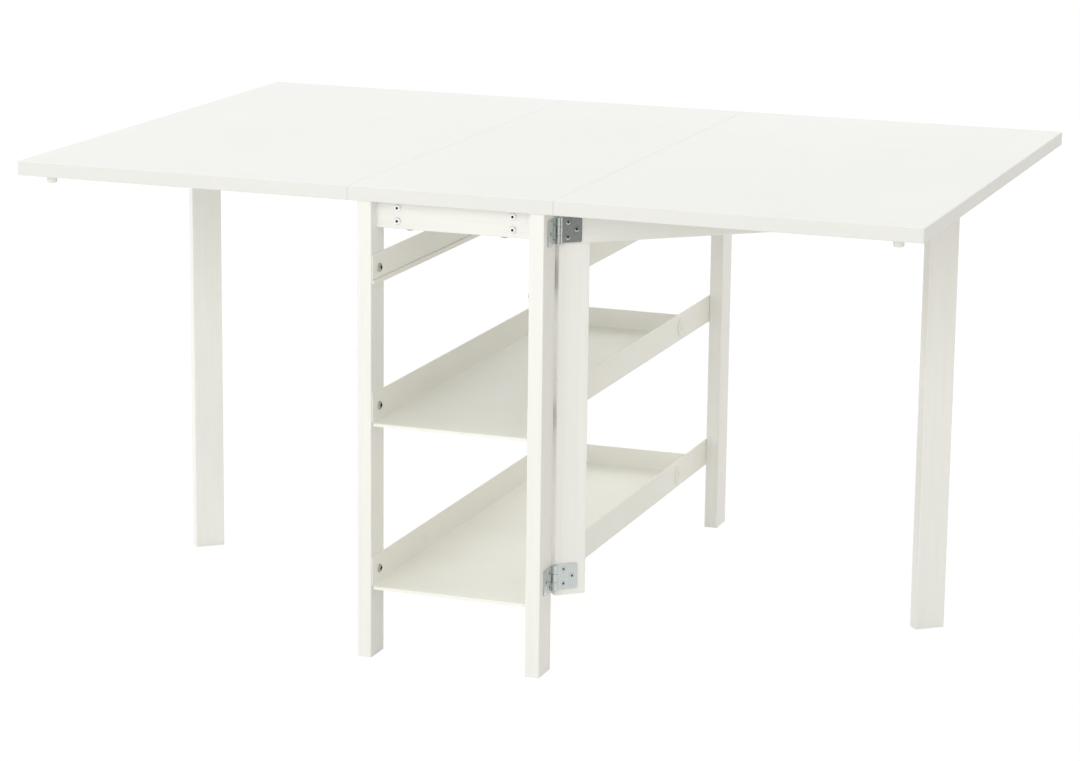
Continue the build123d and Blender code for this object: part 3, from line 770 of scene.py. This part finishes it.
# %% Screw the leaf hinges on
LEAF_PLATE = 0.0016
LEAF_SCREW_INSET = 0.020
LEAF_SCREW_SPREAD = 0.020
LEAF_HINGE_HALF = 0.030
LEAF_SCREW = {"Diameter": 0.0066, "Rise": 0.0002, "Sink": 0.0015, "Recess Length": 0.0038,
              "Recess Width": 0.0011, "Recess Depth": 0.001}
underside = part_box("centre_top")[0].z
seam_x = frame["joints"][2]["pos_m"][0]
hinge_low, hinge_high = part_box("right_leaf_hinge_fixed_plates")


def leaf_seats(side):
    """Seats under one plate of each hinge of the right seam, towards the leaf for 1 and the frame for -1."""
    middle_y = hinge_high.y - LEAF_HINGE_HALF
    spots = [end * middle_y + spread for end in (-1, 1) for spread in (-LEAF_SCREW_SPREAD, LEAF_SCREW_SPREAD)]
    level = underside - LEAF_PLATE
    return [(Vector((seam_x + side * LEAF_SCREW_INSET, y, level)), Vector((0, 0, -1))) for y in spots]


fixed_seats = leaf_seats(-1)
moving_seats = leaf_seats(1)
leaf_screws = [
    ("leaf_hinge_frame_screws", fixed_seats + half_turned(fixed_seats), "frame"),
    ("right_leaf_hinge_screws", moving_seats, "right_leaf"),
    ("left_leaf_hinge_screws", half_turned(moving_seats), "left_leaf"),
]
for name, seats, body in leaf_screws:
    piece = set_screws(name, cross_screws, seats, body, hinge_finish, LEAF_SCREW)

# %% [markdown]
# ## Screws of the trays, the rails and the top
#
# A pan-headed screw goes through each end of every tray side and side rail into its post, and two go up
# through each apron into the centre board. The solids have plain heads for these, so the detailed ones stand
# for them. Their boxes in the solid model give the seats: a head's radius in from each end, half-way up.

# %% Screw the steel and the top on
SHEET = 0.0012
STEEL_SCREW = {"Diameter": 0.0134, "Rise": 0.0032, "Sink": 0.0, "Recess Length": 0.0082,
               "Recess Width": 0.0032, "Recess Depth": 0.0028}
TOP_SCREW = {"Diameter": 0.0118, "Rise": 0.0025, "Sink": 0.0, "Recess Length": 0.0064,
             "Recess Width": 0.0018, "Recess Depth": 0.0016}
STEEL_NODES = ("lower_tray_screws", "middle_tray_screws", "side_rail_screws")
TOP_NODES = ("front_top_screws", "back_top_screws")


def steel_seats(node):
    """Seats of four screws that hold a tray or the two rails to the posts."""
    low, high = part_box(node)
    inset = (high.z - low.z) / 2
    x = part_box("front_right_post")[0].x - SHEET
    z = (low.z + high.z) / 2
    depths = (low.y + inset, high.y - inset)
    right = [(Vector((x, y, z)), Vector((-1, 0, 0))) for y in depths]
    return right + half_turned(right)


def top_seats(node):
    """Seats of the two screws that go up through an apron."""
    low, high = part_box(node)
    inset = (high.y - low.y) / 2
    seat = Vector((0, (low.y + high.y) / 2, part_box("front_apron")[0].z))
    return [(seat + Vector((x, 0, 0)), Vector((0, 0, -1))) for x in (low.x + inset, high.x - inset)]


all_steel_seats = [seat for node in STEEL_NODES for seat in steel_seats(node)]
all_top_seats = [seat for node in TOP_NODES for seat in top_seats(node)]
steel_screws = set_screws("steel_screws", cross_screws, all_steel_seats, "frame", screw_zinc_painted_dark, STEEL_SCREW)
top_screws = set_screws("top_screws", cross_screws, all_top_seats, "frame", screw_zinc_painted_dark, TOP_SCREW)
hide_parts(*STEEL_NODES)
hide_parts(*TOP_NODES)

# %% [markdown]
# ## Bolts of the aprons
#
# Four bright bolts with hex sockets go through each apron into the ends of the stretchers.

# %% Bolt the aprons on
BOLT = {"Diameter": 0.013, "Rise": 0.003, "Sink": 0.0, "Edge Power": 1.5, "Recess Length": 0.0046,
        "Recess Depth": 0.0022}
BOLT_NODES = ("front_apron_bolts", "back_apron_bolts")
bolt_low, bolt_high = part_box(BOLT_NODES[0])
bolt_inset = BOLT["Diameter"] / 2
apron_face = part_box("front_apron")[0].y
front_bolt_seats = [
    (Vector((x, apron_face, z)), Vector((0, -1, 0)))
    for x in (bolt_low.x + bolt_inset, bolt_high.x - bolt_inset)
    for z in (bolt_low.z + bolt_inset, bolt_high.z - bolt_inset)
]
all_bolt_seats = front_bolt_seats + half_turned(front_bolt_seats)
apron_bolts = set_screws("apron_bolts", hex_bolts, all_bolt_seats, "frame", bolt_zinc_painted_bright, BOLT)
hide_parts(*BOLT_NODES)
